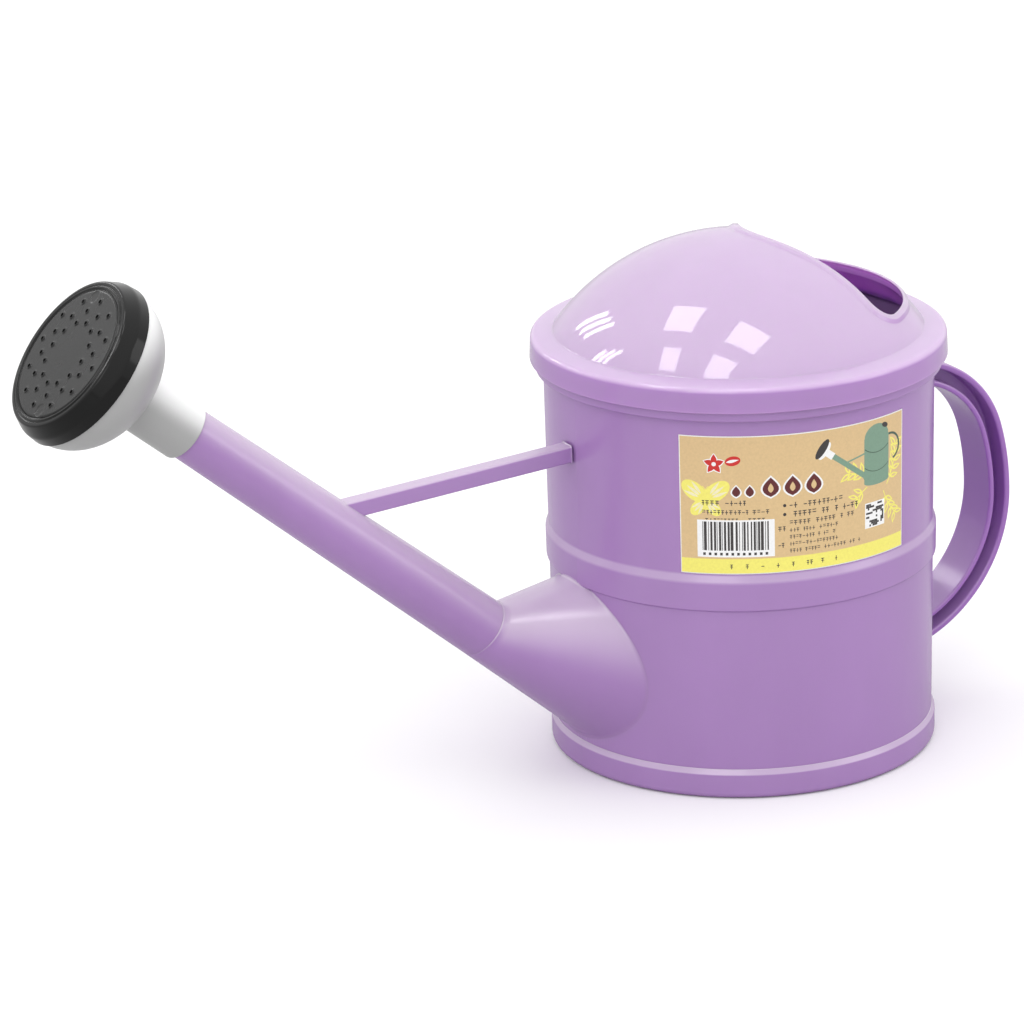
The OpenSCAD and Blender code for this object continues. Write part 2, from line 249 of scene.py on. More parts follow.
port_r = 29 * mm
port_z = 53.7 * mm
tank_section = soften([
    (wall_r(floor_top), floor_top, 0),
    (wall_r(belt_z), belt_z, 0.7 * mm),
    (wall_r(belt_z) + belt_proud, belt_z + 0.9 * mm, 0.9 * mm),
    (wall_r(belt_top) + belt_proud, belt_top - 3.4 * mm, 4.5 * mm),
    (wall_r(belt_top), belt_top + 0.4 * mm, 3.5 * mm),
    (wall_r(band_z), band_z, 0.7 * mm),
    (band_r, band_z + 0.3 * mm, 0.8 * mm),
    (band_r, rim_z, 1.0 * mm),
    (wall_r(rim_z) - wall_t, rim_z, 0.6 * mm),
    (wall_r(floor_top) - wall_t, floor_top, 0),
])
tank_wall = turned("tank_wall_shell", tank_section, 288, seam_angles)
port_rows = []
for reach in (-1.2 * band_r, 0):
    port_rows.append([
        Vector((reach, port_r * cos(2 * pi * k / 72), port_z + port_r * sin(2 * pi * k / 72)))
        for k in range(72)
    ])
cut(tank_wall, skin("port_tool", port_rows, ring=False))
dress(tank_wall, lilac, "can", "body_plastic", "tank_wall")

# ---- Tank base ------------------------------------------------------------------------------
# The floor is moulded with the wall. Its outer band stands proud of the wall with a bevel along
# the top, and the can stands on the rounded ring below. The middle pad is level with that ring.

base_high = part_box("tank_base")[1]
foot_r = base_high.x
foot_h = base_high.z
pad_r = 20 * mm
relief_r = foot_r - 10 * mm
relief_h = 1.2 * mm
base_section = soften([
    (0, 0, 0),
    (pad_r, 0, 0.6 * mm),
    (pad_r + 2 * mm, relief_h, 0.6 * mm),
    (relief_r - 2 * mm, relief_h, 0.6 * mm),
    (relief_r, 0, 0.6 * mm),
    (foot_r, 0, 2.6 * mm),
    (foot_r, foot_h - 2.6 * mm, 1.4 * mm),
    (wall_r(foot_h) + 0.1 * mm, foot_h, 0.5 * mm),
    (wall_r(floor_top) - 0.4 * mm, foot_h - 0.2 * mm, 0),
    (wall_r(floor_top) - 0.4 * mm, floor_top, 0),
    (0, floor_top, 0),
])
tank_base = turned("tank_base_shell", base_section, 288, seam_angles)
dress(tank_base, lilac, "can", "body_plastic", "tank_base")

# ---- Spout tube -----------------------------------------------------------------------------
# The tube is a long straight taper, open at both ends and moulded with the can. It starts at the
# crease above the root and ends inside the rose's socket.

spout_angle = radians(39.8)
spout_z = 37.6 * mm
spout_len = 276 * mm
spout_root_r = 15.1 * mm
spout_tip_r = 11.95 * mm
spout_wall = 1.7 * mm
root_len = 62.4 * mm
crease_round = 2.2 * mm
spout_place = (
    Matrix.Translation((-wall_r(spout_z), 0, spout_z))
    @ Matrix.Rotation(spout_angle - pi / 2, 4, "Y")
)
spout_turn = spout_place.to_3x3()


def spout_r(t):
    """Outer radius of the spout at distance t along its axis from the wall."""
    return spout_root_r + (spout_tip_r - spout_root_r) * t / spout_len


tube_start = root_len + crease_round
tube_section = soften([
    (spout_r(tube_start), tube_start, 0),
    (spout_tip_r, spout_len, 0.5 * mm),
    (spout_tip_r - spout_wall, spout_len, 0.5 * mm),
    (spout_r(tube_start) - spout_wall, tube_start, 0),
])
spout_tube = turned("spout_tube_shell", tube_section, 128)
spout_tube.data.transform(spout_place)
dress(spout_tube, lilac, "can", "body_plastic", "spout_tube")

# ---- Spout root -----------------------------------------------------------------------------
# The root flares from the tube to a wide oval on the wall, so that water flows in freely. It is
# moulded with the can: a crease marks where the flare starts, and a small fillet meets the wall.

root_end = Vector((-67.5 * mm, 0, 53.7 * mm))
root_end_r = 46.9 * mm
root_end_ratio = 1.08
root_tilt = radians(16.5)
root_fillet = 1.6 * mm
root_columns = 160


def belt_lift(z):
    """How far the belt stands proud of the wall at height z."""
    rise = min(1, max(0, (z - belt_z + 0.3 * mm) / (1.4 * mm)))
    return belt_proud * rise * rise * (3 - 2 * rise)


def in_wall(point):
    """How deep a point lies inside the tank's outer surface."""
    return wall_r(point.z) + belt_lift(point.z) - hypot(point.x, point.y)


def enter(start, stop, depth):
    """The point between start, outside, and stop, inside, where depth becomes positive."""
    low, high = 0.0, 1.0
    for _ in range(40):
        middle = (low + high) / 2
        if depth(start.lerp(stop, middle)) > 0:
            high = middle
        else:
            low = middle
    return start.lerp(stop, low)


def flare(angle, inset):
    """The flare's straight line at an angle round the spout: its start and its end in the tank."""
    across = Vector((cos(angle), sin(angle), 0)) * (spout_r(root_len) - inset)
    start = spout_place @ (across + Vector((0, 0, root_len)))
    up = Vector((sin(root_tilt), 0, cos(root_tilt)))
    reach = root_end_r - inset
    end = root_end + up * reach * cos(angle) + Vector((0, reach * root_end_ratio * sin(angle), 0))
    return start, end


root_rows = []
along = spout_turn @ Vector((0, 0, 1))
for i in range(root_columns):
    angle = 2 * pi * i / root_columns
    start, end = flare(angle, 0)
    down = (end - start).normalized()
    meet = enter(start, end, in_wall)
    out = Vector((meet.x, meet.y, 0)).normalized()
    spread = (down - out * down.dot(out)).normalized()
    landing = meet + spread * root_fillet
    landing_r = wall_r(landing.z) + belt_lift(landing.z) - 0.04 * mm
    landing = Vector((*(Vector((landing.x, landing.y)).normalized() * landing_r), landing.z))
    outward = spout_turn @ Vector((cos(angle), sin(angle), 0))
    taper = (spout_r(tube_start) - spout_r(root_len)) * outward
    top = start + along * crease_round + taper
    knee = start + down * crease_round
    outer = [top.lerp(start, k / 4).lerp(start.lerp(knee, k / 4), k / 4) for k in range(5)]
    leave = meet - down * root_fillet
    outer += [knee.lerp(leave, k / 14) for k in range(1, 14)]
    outer += [leave.lerp(meet, k / 6).lerp(meet.lerp(landing, k / 6), k / 6) for k in range(7)]
    inner_start, inner_end = flare(angle, spout_wall)
    inner_stop = enter(inner_start, inner_end, in_wall)
    inner_stop -= Vector((inner_stop.x, inner_stop.y, 0)).normalized() * wall_t / 2
    inner = [inner_stop.lerp(inner_start, k / 8) for k in range(9)]
    inner.append(inner_start + along * crease_round)
    root_rows.append(outer + inner)
spout_root = skin("spout_root_shell", root_rows)
dress(spout_root, lilac, "can", "body_plastic", "spout_root")

# ---- Brace ----------------------------------------------------------------------------------
# A short square bar ties the spout to the tank and stops the spout from sagging. It is moulded
# with both, so each end flares a little where it grows out of the tank and the tube.

brace_low, brace_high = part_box("spout_brace")
brace_w = brace_high.y - brace_low.y
brace_h = 8 * mm
brace_z = 156 * mm
brace_slope = radians(3.3)
brace_run = brace_high.x - brace_low.x + 6 * mm
brace_flare = 0.7 * mm
brace_section = soften([
    (-brace_w / 2, -brace_h / 2, 1.0 * mm),
    (brace_w / 2, -brace_h / 2, 1.0 * mm),
    (brace_w / 2, brace_h / 2, 1.0 * mm),
    (-brace_w / 2, brace_h / 2, 1.0 * mm),
])
spout_back = spout_place.inverted()


def in_tube(point):
    """How deep a point lies inside the spout's outer surface."""
    local = spout_back @ point
    return spout_r(local.z) - hypot(local.x, local.y)


brace_way = Vector((-cos(brace_slope), 0, -sin(brace_slope)))
brace_up = Vector((-sin(brace_slope), 0, cos(brace_slope)))
brace_middle = Vector((-wall_r(brace_z), 0, brace_z)) + brace_way * brace_run * 0.4
brace_rows = []
for side, depth in ((-1, in_wall), (1, in_tube)):
    end_rows = []
    for step in range(7):
        swell = brace_flare * (1 - sin(step / 6 * pi / 2))
        back = brace_flare * (1 - cos(step / 6 * pi / 2)) - 0.3 * mm
        row = []
        for p in brace_section:
            grown = p + p.normalized() * swell
            base = brace_middle + Vector((0, grown.x, 0)) + brace_up * grown.y
            meet = enter(base, base + brace_way * side * brace_run, depth)
            row.append(meet - brace_way * side * back)
        end_rows.append(row)
    brace_rows += end_rows if side < 0 else reversed(end_rows)
spout_brace = skin("spout_brace_bar", brace_rows, ring=False)
dress(spout_brace, lilac, "can", "body_plastic", "spout_brace")

# ---- Carrying handle ------------------------------------------------------------------------
# The handle is a loop of I-section moulded with the can: a wide outer flange, a wide inner
# flange and a thin web, so that it is stiff without thick plastic. Both ends grow from the wall.

handle_low, handle_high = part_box("carry_handle")
handle_reach = handle_high.x
handle_w = handle_high.y - handle_low.y
handle_z = 98 * mm
handle_d = 11.8 * mm
outer_flange = 3.1 * mm
inner_flange = 2.7 * mm
web = 3 * mm
low_r, mid_r, top_r = 73 * mm, 123 * mm, 55 * mm
mid_turn = radians(16.2)
edge_round = 1.1 * mm
root_round = 0.9 * mm

half_w, half_web = handle_w / 2, web / 2
handle_section = soften([
    (0, -half_w, edge_round),
    (0, half_w, edge_round),
    (outer_flange, half_w, edge_round),
    (outer_flange, half_web, root_round),
    (handle_d - inner_flange, half_web, root_round),
    (handle_d - inner_flange, half_w, edge_round),
    (handle_d, half_w, edge_round),
    (handle_d, -half_w, edge_round),
    (handle_d - inner_flange, -half_w, edge_round),
    (handle_d - inner_flange, -half_web, root_round),
    (outer_flange, -half_web, root_round),
    (outer_flange, -half_w, edge_round),
])


def handle_point(turn, depth, across):
    """A point on the handle at an angle along its loop, below its outside and off its middle."""
    if turn <= 0:
        x, z, r = handle_reach - low_r, handle_z, low_r
    elif turn <= mid_turn:
        x, z, r = handle_reach - mid_r, handle_z, mid_r
    else:
        shift = mid_r - top_r
        x = handle_reach - mid_r + shift * cos(mid_turn)
        z, r = handle_z + shift * sin(mid_turn), top_r
    return Vector((x + (r - depth) * cos(turn), across, z + (r - depth) * sin(turn)))


def handle_end(depth, across, outside, inside):
    """The angle at which a line along the handle enters the wall."""
    for _ in range(40):
        middle = (outside + inside) / 2
        if in_wall(handle_point(middle, depth, across)) > 0.6 * mm:
            inside = middle
        else:
            outside = middle
    return outside


handle_count = 120
spans = [
    (handle_end(p.x, p.y, 0, -pi / 2), handle_end(p.x, p.y, mid_turn, radians(110)))
    for p in handle_section
]
handle_rows = []
for i in range(handle_count + 1):
    share = i / handle_count
    handle_rows.append([
        handle_point(low + (high - low) * share, p.x, p.y)
        for p, (low, high) in zip(handle_section, spans)
    ])
carry_handle = skin("carry_handle_loop", handle_rows, ring=False)
# Painted shade: the handle gets a darker copy of the can's lilac, with weaker painted top light.
handle_shaded_colour, handle_painted_top_light = (0.34, 0.150, 0.480), (0.44, 0.27, 0.54)
shaded_lilac = moulded(
    "handle_lilac_painted_shade", handle_shaded_colour, 0.08 * mm, 0.2, 0.2, 0.03, 0.3, handle_painted_top_light, 1.6
)
dress(carry_handle, shaded_lilac, "can", "body_plastic", "carry_handle")

# ---- Hood -----------------------------------------------------------------------------------
# The hood presses onto the rim and keeps water from slopping out. It is a polished dome, moulded
# in the same plastic, whose rear is cut away at a slant to fill the can. A rolled lip stiffens
# the cut edge, and the brim ends in a deep skirt over the rim band.

hood_low, hood_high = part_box("hood_lid")
skirt_z = hood_low.z
skirt_r = hood_high.x
skirt_flare = 0.5 * mm
skirt_in_r = band_r + 0.3 * mm
under_z = rim_z + 0.2 * mm
dome_foot_r = skirt_r - skirt_flare - 10.5 * mm
dome_foot_z = under_z + 4.4 * mm
dome_h = 44 * mm
dome_r = (dome_foot_r ** 2 + dome_h ** 2) / (2 * dome_h)
dome_z = dome_foot_z + dome_h - dome_r
dome_t = 2 * mm
lip_z = dome_foot_z + 12.4 * mm
arch_x, arch_z, arch_r = -7 * mm, dome_foot_z - 0.6 * mm, 47.1 * mm
mouth_round = 16 * mm
fillet_z = lip_z + mouth_round
fillet_x = arch_x + sqrt((arch_r + mouth_round) ** 2 - (fillet_z - arch_z) ** 2)
lip_out, lip_in = 2.1 * mm, 0.8 * mm
cut_r = dome_r + 0.7 * mm
lip_w = 3.4 * mm
lip_round = 0.6 * mm
hood_columns = 320
dome_centre = Vector((0, 0, dome_z))
pole = Vector((47 * mm, 0, sqrt(dome_r ** 2 - (47 * mm) ** 2))).normalized()


def in_mouth(point):
    """How far a point lies inside the cut, seen from the side: an arch with a filleted foot."""
    if point.x < arch_x:
        return -1
    from_fillet = Vector((point.x - fillet_x, point.z - fillet_z))
    to_arch = Vector((arch_x - fillet_x, arch_z - fillet_z))
    if point.z <= fillet_z and point.x <= fillet_x and from_fillet.cross(to_arch) < 0:
        return mouth_round - from_fillet.length
    if point.x >= fillet_x:
        return point.z - lip_z
    return hypot(point.x - arch_x, point.z - arch_z) - arch_r


def circle_way(angle, height, radius):
    """Direction from the dome's centre to a point of that height on a sphere of that radius."""
    reach = sqrt(radius ** 2 - (height - dome_z) ** 2)
    return Vector((reach * cos(angle), reach * sin(angle), height - dome_z)).normalized()


foot_line = dome_foot_z + 2.4 * mm
inner_r = dome_r - dome_t
middle_r = dome_r - dome_t / 2
edges, feet, inner_feet, angles = [], [], [], []
for i in range(hood_columns):
    angle = 2 * pi * i / hood_columns
    foot = circle_way(angle, foot_line, dome_r)
    low, high = 0.0, 1.0
    for _ in range(40):
        share = (low + high) / 2
        if in_mouth(dome_centre + cut_r * pole.slerp(foot, share)) > 0:
            low = share
        else:
            high = share
    edges.append(pole.slerp(foot, high))
    feet.append(foot)
    inner_feet.append(circle_way(angle, under_z, inner_r))
    angles.append(angle)

brim_section = soften([
    (sqrt(dome_r ** 2 - (foot_line - dome_z) ** 2), foot_line, 0),
    (dome_foot_r, dome_foot_z, 1.3 * mm),
    (skirt_r - skirt_flare, under_z + 2.6 * mm, 2.6 * mm),
    (skirt_r, skirt_z, 0.5 * mm),
    (skirt_in_r + 0.2 * mm, skirt_z, 0.4 * mm),
    (skirt_in_r, under_z, 0.5 * mm),
    (sqrt(inner_r ** 2 - (under_z - dome_z) ** 2), under_z, 0),
])[1:-1]

lip_section = soften([
    (lip_w + 1.5 * mm, -dome_t / 2, 0),
    (lip_w + 0.6 * mm, -dome_t / 2, 1 * mm),
    (lip_w - 1.2 * mm, lip_in, 1 * mm),
    (0, lip_in, 0.5 * mm),
    (0, lip_out, lip_round),
    (lip_w - 0.6 * mm, lip_out, 1.2 * mm),
    (lip_w + 1.4 * mm, dome_t / 2, 1.6 * mm),
    (lip_w + 3.4 * mm, dome_t / 2, 0),
])

hood_rows = []
for i, edge in enumerate(edges):
    side = (edges[(i + 1) % hood_columns] - edges[i - 1]).normalized()
    way = side.cross(edge).normalized()
    if way.dot(feet[i] - edge) < 0:
        way = -way

    def shell(distance, height):
        """A point a distance from the cut edge along the shell and a height off its middle."""
        turn = distance / middle_r
        return dome_centre + (edge * cos(turn) + way * sin(turn)) * (middle_r + height)

    row = [shell(p.x, p.y) for p in lip_section]
    turn = (lip_w + 4 * mm) / middle_r
    first = edge * cos(turn) + way * sin(turn)
    row += [dome_centre + first.slerp(feet[i], k / 30) * dome_r for k in range(31)]
    around = Vector((cos(angles[i]), sin(angles[i]), 0))
    row += [around * p.x + Vector((0, 0, p.y)) for p in brim_section]
    row += [dome_centre + inner_feet[i].slerp(first, k / 16) * inner_r for k in range(17)]
    hood_rows.append(row)
hood = skin("hood_dome", hood_rows)
# Painted top light: the hood's lilac is a lighter copy of the can's, and skin that looks up is
# lightened further.
hood_lit_colour, hood_painted_top_light = (0.43, 0.235, 0.56), (0.585, 0.425, 0.665)
polished_lilac = moulded(
    "polished_lilac", hood_lit_colour, 0.04 * mm, 0.045, 0.05, 0.02, 0.75, hood_painted_top_light, 1.7
)
glow = polished_lilac.node_tree.nodes["Principled BSDF"]
glow.inputs["Subsurface Scale"].default_value = 8 * mm
dress(hood, polished_lilac, "hood", "hood_plastic", "hood_lid")

# ---- Rose bowl ------------------------------------------------------------------------------
# The rose is a white plastic bowl on a straight socket that pushes over the spout's tip. The
# socket's mouth is rounded, and the bowl's neck carries the perforated face.

socket_mouth = spout_len - 22 * mm
bowl_back = socket_mouth + 29.5 * mm
bowl_rim = bowl_back + 29 * mm
bowl_depth = 29 * mm
bowl_r = 38.9 * mm
bowl_t = 1.6 * mm
bore_r = spout_r(socket_mouth) + 0.3 * mm
socket_r = bore_r + 1.45 * mm
neck_r = bowl_r - 2.4 * mm
neck_len = 5 * mm
stop_r = spout_tip_r - spout_wall


def bowl_curve(radius, depth, first_r, rim, count):
    """Quarter ellipse from first_r at the bowl's back to its rim, as (radius, distance, 0)."""
    start = asin(first_r / radius)
    turns = [start + (pi / 2 - start) * k / count for k in range(count + 1)]
    return [(radius * sin(a), rim - depth * cos(a), 0) for a in turns]


outer_bowl = bowl_curve(bowl_r, bowl_depth, socket_r + 1.6 * mm, bowl_rim, 26)
inner_bowl = bowl_curve(neck_r - bowl_t, bowl_depth - 3 * mm, stop_r + 1 * mm, bowl_rim - mm, 16)
corner_t = bowl_rim - bowl_depth * cos(asin(socket_r / bowl_r))
rose_section = soften([
    (bore_r, socket_mouth, 0.5 * mm),
    (socket_r, socket_mouth, 0.85 * mm),
    (socket_r, corner_t, 1.4 * mm),
    *outer_bowl[:-1],
    (bowl_r, bowl_rim, 0.3 * mm),
    (neck_r, bowl_rim, 0),
    (neck_r, bowl_rim + neck_len, 0.4 * mm),
    (neck_r - bowl_t, bowl_rim + neck_len, 0.4 * mm),
    *reversed(inner_bowl),
    (stop_r, bowl_back, 0),
    (stop_r, spout_len + 0.5 * mm, 0),
    (bore_r, spout_len + 0.5 * mm, 0),
])
rose_bowl = turned("rose_bowl", rose_section, 192)
rose_bowl.data.transform(spout_place)
# Painted shade and top light: the white is mid grey where it faces down or sideways and near white
# where it faces up.
painted_shade_white, painted_top_light_white = (0.40, 0.40, 0.40), (0.97, 0.97, 0.97)
white = moulded("white_plastic", painted_shade_white, 0.03 * mm, 0.3, 0.12, 0.012, 0.1, painted_top_light_white)
dress(rose_bowl, white, "rose", "rose_plastic", "rose_funnel")

# ---- Rose face ------------------------------------------------------------------------------
# The face is a glossy black cap that snaps over the bowl's neck. Its rim is rounded, a thin bead
# runs round the plate, and three rings of water holes are each raised on a small collar. Two
# round ejector marks are left near the plate's edge.

face_back = bowl_rim + 0.2 * mm
face_front = face_back + 11.8 * mm
face_r = bowl_r + 1.1 * mm
face_in_r = neck_r + 0.3 * mm
bead_ring_r = 33.4 * mm
plate_t = 1.8 * mm
plate_crown = 0.35 * mm
hole_r = 0.9 * mm
collar_r = 1.75 * mm
collar_h = 0.5 * mm
hole_rings = [(15.5 * mm, 0), (21.1 * mm, 0.5), (26.7 * mm, 0)]
holes_per_ring = 12
mark_r = 3.1 * mm
hole_sides, mark_sides = 20, 44
plate_edge = bead_ring_r - 1.1 * mm
plate_z = face_front - 0.1 * mm

holes = []
for ring_r, shift in hole_rings:
    for k in range(holes_per_ring):
        angle = 2 * pi * (k + shift) / holes_per_ring
        holes.append(Vector((ring_r * cos(angle), ring_r * sin(angle))))
marks = [Vector((28.4 * mm * cos(a), 28.4 * mm * sin(a))) for a in (radians(15), radians(195))]


def plate_height(x, y):
    """Height of the plate's front at a point: crowned, collared round holes, dished at marks."""
    here = Vector((x, y))
    height = plate_z + plate_crown * (1 - (here.length / plate_edge) ** 2)
    near = min((here - hole).length for hole in holes)
    if near < collar_r:
        share = (collar_r - near) / (collar_r - hole_r - 0.25 * mm)
        height += collar_h * min(1, share) ** 1.5
    if near < hole_r + 0.05 * mm:
        height -= 0.25 * mm
    near_mark = min((here - mark).length for mark in marks)
    if near_mark < mark_r:
        height -= 0.12 * mm * min(1, (mark_r - near_mark) / (0.3 * mm))
    return height


def circle(middle, radius, count):
    """Points on a circle."""
    turns = [2 * pi * k / count for k in range(count)]
    return [Vector((middle.x + radius * cos(t), middle.y + radius * sin(t))) for t in turns]


sheet_points, hole_loops = [], []
for hole in holes:
    loop = circle(hole, hole_r, hole_sides)
    hole_loops.append(list(range(len(sheet_points), len(sheet_points) + hole_sides)))
    sheet_points += loop
    for grown in (0.12 * mm, 0.25 * mm, 0.45 * mm, 0.62 * mm, 0.85 * mm):
        sheet_points += circle(hole, hole_r + grown, hole_sides)
for mark in marks:
    for radius in (mark_r, mark_r - 0.15 * mm, mark_r - 0.3 * mm):
        sheet_points += [
            p for p in circle(mark, radius, mark_sides)
            if min((p - h).length for h in holes) > collar_r
        ]
rim_count = 144
rim_loop = list(range(len(sheet_points), len(sheet_points) + rim_count))
sheet_points += circle(Vector((0, 0)), plate_edge, rim_count)
for step in range(1, 21):
    radius = plate_edge * step / 21
    for p in circle(Vector((0.0, 0.0)), radius, max(8, int(radius / mm * 4.4))):
        clear = min((p - h).length for h in holes) > collar_r + 0.3 * mm
        if clear and min(abs((p - m).length - mark_r) for m in marks) > 0.7 * mm:
            sheet_points.append(p)
sheet_points.append(Vector((0, 0)))
scaled = [p / mm for p in sheet_points]
found = delaunay_2d_cdt(scaled, [], hole_loops + [rim_loop], 1, 1e-4)
plate = bmesh.new()
front = [plate.verts.new((p.x * mm, p.y * mm, plate_height(p.x * mm, p.y * mm))) for p in found[0]]
back = [plate.verts.new((p.x * mm, p.y * mm, plate_z - plate_t)) for p in found[0]]
for face, origin in zip(found[2], found[5]):
    if any(source < len(hole_loops) for source in origin):
        continue
    plate.faces.new([front[k] for k in face])
    plate.faces.new([back[k] for k in reversed(face)])
open_edges = [e for e in plate.edges if len(e.link_faces) == 1 and e.verts[0] in set(front)]
pair = dict(zip(front, back))
for edge in open_edges:
    a, b = edge.verts
    plate.faces.new((a, b, pair[b], pair[a]))
bmesh.ops.delete(plate, geom=[v for v in plate.verts if not v.link_faces], context="VERTS")
bmesh.ops.recalc_face_normals(plate, faces=plate.faces)
rose_plate = finish_mesh("rose_plate", plate)
rose_plate.data.transform(spout_place)

cap_section = soften([
    (face_in_r, face_back, 0.2 * mm),
    (face_r, face_back, 0.4 * mm),
    (face_r - 0.5 * mm, face_back + 5.5 * mm, 5 * mm),
    (face_r - 3.6 * mm, face_front - 0.2 * mm, 3.2 * mm),
    (bead_ring_r + 1.3 * mm, face_front - 0.1 * mm, 0.5 * mm),
    (bead_ring_r + 0.75 * mm, plate_z - 0.35 * mm, 0.3 * mm),
    (bead_ring_r + 0.3 * mm, plate_z + 0.35 * mm, 0.3 * mm),
    (bead_ring_r - 0.4 * mm, plate_z + 0.35 * mm, 0.35 * mm),
    (plate_edge - 0.1 * mm, plate_z - 0.12 * mm, 0.2 * mm),
    (plate_edge - 0.4 * mm, plate_z - plate_t, 0),
    (face_in_r - 2.4 * mm, plate_z - plate_t, 0.5 * mm),
    (face_in_r, face_back + neck_len + 0.5 * mm, 0),
])
rose_cap = turned("rose_cap_rim", cap_section, 192)
rose_cap.data.transform(spout_place)
cap_colour, plate_colour = (0.002, 0.002, 0.002), (0.010, 0.010, 0.010)
black = moulded("gloss_black_plastic", cap_colour, 0.05 * mm, 0.12, 0.1, 0.1, ior=1.36)
plate_black = moulded("satin_black_plate", plate_colour, 0.12 * mm, 0.26, 0.3, 0.12, ior=1.38)
dress(rose_cap, black, "face", "face_plastic", "rose_face")
dress(rose_plate, plate_black, "face", "face_plastic")

# ---- Label ----------------------------------------------------------------------------------
# A printed paper sticker is wrapped round the wall between the belt and the rim band. The print
# is a plain garden picture: leaves, a butterfly, a small can, bars and blocks in place of words.

label_low, label_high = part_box("front_label")
label_z0, label_z1 = label_low.z, label_high.z
label_span = radians(72)
label_middle = radians(-102)
label_t = 0.25 * mm
label_h = (label_z1 - label_z0) / mm
label_w = label_span * wall_r((label_z0 + label_z1) / 2) / mm
label_margin = 0.45
inks = {
    "label_edge": (0.95, 0.93, 0.87),
    "label_tan": (0.72, 0.51, 0.26),
    "label_yellow": (0.93, 0.84, 0.17),
    "label_cream": (0.90, 0.83, 0.55),
    "label_white": (0.95, 0.95, 0.95),
    "label_ink": (0.035, 0.03, 0.03),
    "label_maroon": (0.11, 0.008, 0.01),
    "label_red": (0.62, 0.015, 0.012),
    "label_green": (0.20, 0.33, 0.24),
    "label_dark_green": (0.05, 0.10, 0.07),
    "label_grey": (0.30, 0.28, 0.26),
}
prints = []


def ink(colour, outline):
    """Adds a printed shape, over those before it, with its outline turned anticlockwise."""
    points = [Vector(p) for p in outline]
    area = sum(a.cross(b) for a, b in zip(points, points[1:] + points[:1]))
    prints.append((colour, points if area > 0 else list(reversed(points))))


def block(x, y, w, h):
    """A rectangle by its lower left corner, width and height."""
    return [(x, y), (x + w, y), (x + w, y + h), (x, y + h)]


def oval(x, y, rx, ry, turn=0.0, count=24):
    """An oval by its middle, radii and turn in degrees."""
    c, s = cos(radians(turn)), sin(radians(turn))
    points = []
    for k in range(count):
        a, b = rx * cos(2 * pi * k / count), ry * sin(2 * pi * k / count)
        points.append((x + a * c - b * s, y + a * s + b * c))
    return points


def leaf(x, y, length, width, turn):
    """A pointed leaf by its stalk end, length, width and turn in degrees."""
    c, s = cos(radians(turn)), sin(radians(turn))
    half = [(k / 8, width / 2 * sin(pi * (k / 8) ** 0.8)) for k in range(9)]
    edge = half + [(t, -w) for t, w in reversed(half[1:-1])]
    return [(x + t * length * c - w * s, y + t * length * s + w * c) for t, w in edge]


def stroke(points, width):
    """A line of even width through points."""
    left, right = [], []
    for k, here in enumerate(points):
        before = Vector(points[max(0, k - 1)])
        after = Vector(points[min(len(points) - 1, k + 1)])
        side = (after - before).normalized().orthogonal() * width / 2
        left.append(Vector(here) + side)
        right.append(Vector(here) - side)
    return left + list(reversed(right))


def bow(x, y, r, first, last, count=14):
    """Points along an arc, its ends in degrees."""
    turns = [radians(first + (last - first) * k / count) for k in range(count + 1)]
    return [(x + r * cos(a), y + r * sin(a)) for a in turns]


band_h = 0.105 * label_h
ink("label_edge", block(0, 0, label_w, label_h))
print_w, print_h = label_w - 2 * label_margin, label_h - 2 * label_margin
ink("label_tan", block(label_margin, label_margin, print_w, print_h))
ink("label_yellow", block(label_margin, label_margin, print_w, band_h))


def sprig(x, y, turn, count, size):
    """A stem with leaves on both sides."""
    stem = [(x, y)]
    for k in range(count):
        turn += 7
        x += 0.62 * size * cos(radians(turn))
        y += 0.62 * size * sin(radians(turn))
        stem.append((x, y))
    ink("label_yellow", stroke(stem, 0.5))
    for k, (a, b) in enumerate(stem[1:]):
        way = turn - 7 * (count - k)
        for lean in (48, -48):
            ink("label_yellow", leaf(a, b, size, 0.42 * size, way + lean))
            ink("label_tan", leaf(a + 0.2 * size * cos(radians(way + lean)),
                                  b + 0.2 * size * sin(radians(way + lean)),
                                  0.6 * size, 0.17 * size, way + lean))


sprig(0.83 * label_w, 0.62 * label_h, 62, 4, 6.4)
sprig(0.90 * label_w, 0.50 * label_h, 50, 5, 6.0)
sprig(0.80 * label_w, 0.60 * label_h, 150, 3, 6.2)
sprig(0.88 * label_w, 0.46 * label_h, -75, 4, 5.8)
sprig(0.79 * label_w, 0.52 * label_h, 205, 2, 5.6)

fly_x, fly_y = 0.105 * label_w, 0.54 * label_h
for lean, size in ((38, 12.5), (142, 12.5), (-48, 9), (228, 9)):
    way = radians(lean)
    ink("label_yellow", oval(fly_x + 0.52 * size * cos(way), fly_y + 0.52 * size * sin(way),
                             0.56 * size, 0.33 * size, lean))
    for spread in (-16, 0, 16):
        turn = lean + spread
        ink("label_cream", leaf(fly_x + 0.28 * size * cos(radians(turn)),
                                fly_y + 0.28 * size * sin(radians(turn)),
                                0.6 * size, 0.11 * size, turn))
ink("label_yellow", oval(fly_x, fly_y - 0.5, 0.8, 4.6, 0))
for lean in (60, 120):
    side, first, last = (3, 180, 120) if lean < 90 else (-3, 0, 60)
    ink("label_yellow", stroke(bow(fly_x + side, fly_y + 4, 3, first, last, 6), 0.3))

mark_x, mark_y = 0.14 * label_w, 0.80 * label_h
for k in range(5):
    ink("label_white", leaf(mark_x, mark_y, 5.3, 3.6, 90 + 72 * k))
for k in range(5):
    ink("label_red", leaf(mark_x, mark_y, 4.8, 2.7, 90 + 72 * k))
ink("label_white", oval(mark_x, mark_y, 1.0, 1.0))
ink("label_red", oval(mark_x + 8.6, mark_y + 1.5, 3.6, 2.3, 12))
ink("label_white", leaf(mark_x + 5.6, mark_y + 0.9, 6, 1.4, 12))

